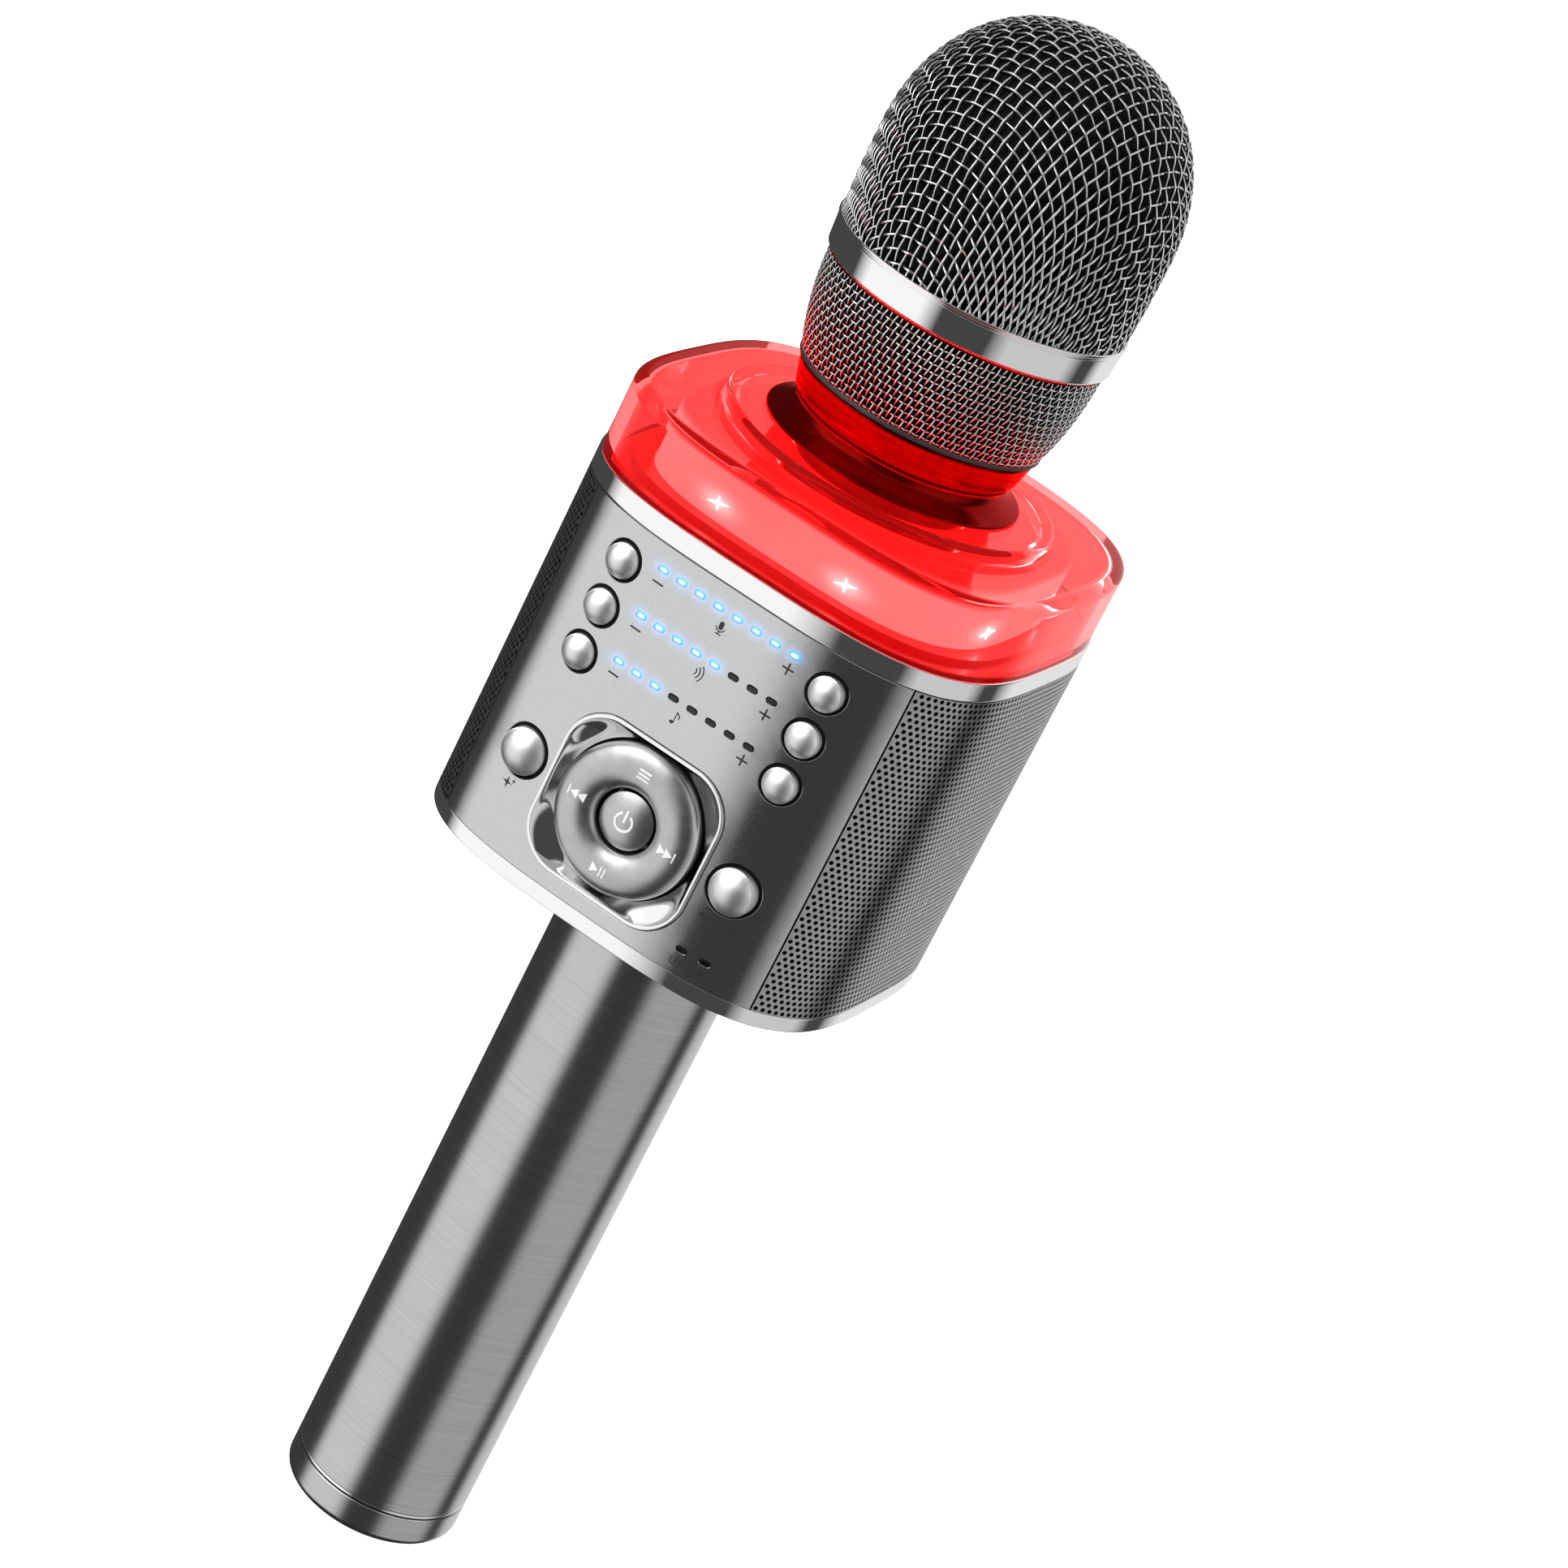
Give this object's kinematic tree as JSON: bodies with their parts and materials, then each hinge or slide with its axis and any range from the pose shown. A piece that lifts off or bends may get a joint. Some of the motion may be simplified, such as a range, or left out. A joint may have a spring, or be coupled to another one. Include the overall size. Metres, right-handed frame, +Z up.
{
  "type": "karaoke microphone",
  "caption": "Cordless karaoke microphone: mesh ball head, clear red light ring, rounded-square speaker body with buttons, pad and level lights, and a brushed tube handle.",
  "frame": {"origin": "centre of the tail cap's flat end face", "axes": "+Z up the handle towards the head, -Y out of the control panel, +X to the panel's right"},
  "size_m": [0.0736, 0.0718, 0.2696],
  "materials": {
    "handle_alu": "circumferentially brushed, anodised gunmetal",
    "chrome": "mirror polished",
    "panel_alu": "satin anodised grey",
    "grille_metal": "perforated, satin black nickel",
    "button_chrome": "satin chrome",
    "mesh_steel": "woven wire",
    "foam": "open-cell foam",
    "black_plastic": "fine texture",
    "black_rubber": "matte",
    "red_clear": "clear red acrylic",
    "red_gloss": "glossy",
    "milky": "milky, lit from inside",
    "board_green": "solder mask",
    "board_white": "white solder mask",
    "led": "clear moulded",
    "led_blue": "lit pale blue",
    "steel": "zinc plated",
    "cell_wrap": "shrink wrap",
    "ferrite": "ground",
    "paper_cone": "pressed fibre",
    "capsule_metal": "satin"
  },
  "bodies": {
    "housing": {"handle_tube": "handle_alu", "tail_trim_ring": "chrome", "battery_cell": "cell_wrap", "battery_cradle": "black_plastic", "bottom_cover": "black_plastic", "bottom_trim_ring": "chrome", "inner_frame": "black_plastic", "front_panel": "panel_alu", "grille_wrap": "grille_metal", "top_trim_ring": "chrome", "top_deck": "black_plastic", "case_screws": "steel", "control_board": "board_green", "tact_switches": "steel", "display_leds": "board_white", "led_windows": "led_blue", "pad_bezel": "chrome", "speaker_basket_left": "steel", "speaker_basket_right": "steel", "speaker_magnet_left": "ferrite", "speaker_magnet_right": "ferrite", "speaker_surround_left": "black_rubber", "speaker_surround_right": "black_rubber", "speaker_screws": "steel", "main_board": "board_green", "port_plate": "black_plastic", "aux_jack": "black_plastic", "usb_socket": "steel", "card_slot": "steel", "light_cover": "red_clear", "light_diffuser": "milky", "led_board": "board_white", "light_leds": "led", "neck_collar": "red_gloss", "capsule_seat": "black_plastic", "capsule_mount": "black_rubber", "mic_capsule": "capsule_metal"},
    "tail_seal": {"tail_oring": "black_rubber"},
    "tail": {"tail_cap": "handle_alu"},
    "head_seal": {"head_oring": "black_rubber"},
    "head": {"thread_ring": "steel", "gasket_ring": "black_rubber", "mesh_skirt": "mesh_steel", "grille_band": "chrome", "mesh_dome": "mesh_steel", "foam_windscreen": "foam"},
    "pad_rocker": {"pad_carrier": "black_plastic"},
    "pad": {"ring_pad": "button_chrome"},
    "power": {"power_button": "button_chrome"},
    "cone_left": {"speaker_cone_left": "paper_cone"},
    "cone_right": {"speaker_cone_right": "paper_cone"},
    "key_mic_minus": {"button_mic_minus": "button_chrome"},
    "key_mic_plus": {"button_mic_plus": "button_chrome"},
    "key_echo_minus": {"button_echo_minus": "button_chrome"},
    "key_echo_plus": {"button_echo_plus": "button_chrome"},
    "key_music_minus": {"button_music_minus": "button_chrome"},
    "key_music_plus": {"button_music_plus": "button_chrome"},
    "key_voice": {"button_voice": "button_chrome"},
    "key_light": {"button_light": "button_chrome"}
  },
  "joints": [
    {"name": "press_mic_minus", "type": "slide", "parent": "housing", "child": "key_mic_minus", "axis": [0, 1, 0], "range_m": [0, 0.0007], "stiffness_N_per_m": 250, "springref_m": -0.00028},
    {"name": "press_mic_plus", "type": "slide", "parent": "housing", "child": "key_mic_plus", "axis": [0, 1, 0], "range_m": [0, 0.0007], "stiffness_N_per_m": 250, "springref_m": -0.00028},
    {"name": "press_echo_minus", "type": "slide", "parent": "housing", "child": "key_echo_minus", "axis": [0, 1, 0], "range_m": [0, 0.0007], "stiffness_N_per_m": 250, "springref_m": -0.00028},
    {"name": "press_echo_plus", "type": "slide", "parent": "housing", "child": "key_echo_plus", "axis": [0, 1, 0], "range_m": [0, 0.0007], "stiffness_N_per_m": 250, "springref_m": -0.00028},
    {"name": "press_music_minus", "type": "slide", "parent": "housing", "child": "key_music_minus", "axis": [0, 1, 0], "range_m": [0, 0.0007], "stiffness_N_per_m": 250, "springref_m": -0.00028},
    {"name": "press_music_plus", "type": "slide", "parent": "housing", "child": "key_music_plus", "axis": [0, 1, 0], "range_m": [0, 0.0007], "stiffness_N_per_m": 250, "springref_m": -0.00028},
    {"name": "press_voice", "type": "slide", "parent": "housing", "child": "key_voice", "axis": [0, 1, 0], "range_m": [0, 0.0007], "stiffness_N_per_m": 250, "springref_m": -0.00028},
    {"name": "press_light", "type": "slide", "parent": "housing", "child": "key_light", "axis": [0, 1, 0], "range_m": [0, 0.0007], "stiffness_N_per_m": 250, "springref_m": -0.00028},
    {"name": "press_power", "type": "slide", "parent": "housing", "child": "power", "axis": [0, 1, 0], "range_m": [0, 0.0007], "stiffness_N_per_m": 250, "springref_m": -0.00028},
    {"name": "pad_tip_up_down", "type": "hinge", "parent": "housing", "child": "pad_rocker", "pos_m": [0, -0.032, 0.1413], "axis": [1, 0, 0], "range_deg": [-1.8, 1.8], "stiffness_Nm_per_rad": 0.15},
    {"name": "pad_tip_left_right", "type": "hinge", "parent": "pad_rocker", "child": "pad", "pos_m": [0, -0.032, 0.1413], "axis": [0, 0, 1], "range_deg": [-1.8, 1.8], "stiffness_Nm_per_rad": 0.15},
    {"name": "cone_stroke_left", "type": "slide", "parent": "housing", "child": "cone_left", "axis": [-1, 0, 0], "range_m": [-0.0008, 0.0008], "stiffness_N_per_m": 900},
    {"name": "cone_stroke_right", "type": "slide", "parent": "housing", "child": "cone_right", "axis": [1, 0, 0], "range_m": [-0.0008, 0.0008], "stiffness_N_per_m": 900},
    {"name": "head_rise", "type": "slide", "parent": "housing", "child": "head_seal", "axis": [0, 0, 1], "range_m": [0, 0.006]},
    {"name": "head_unscrew", "type": "hinge", "parent": "head_seal", "child": "head", "pos_m": [0, 0, 0.2087], "axis": [0, 0, 1], "range_deg": [0, 1080]},
    {"name": "tail_drop", "type": "slide", "parent": "housing", "child": "tail_seal", "axis": [0, 0, -1], "range_m": [0, 0.006]},
    {"name": "tail_unscrew", "type": "hinge", "parent": "tail_seal", "child": "tail", "pos_m": [0, 0, 0.005], "axis": [0, 0, -1], "range_deg": [0, 1080]}
  ],
  "couplings": [
    {"joint": "head_rise", "follows": "head_unscrew", "m_per_rad": 0.00031831},
    {"joint": "tail_drop", "follows": "tail_unscrew", "m_per_rad": 0.00031831}
  ]
}
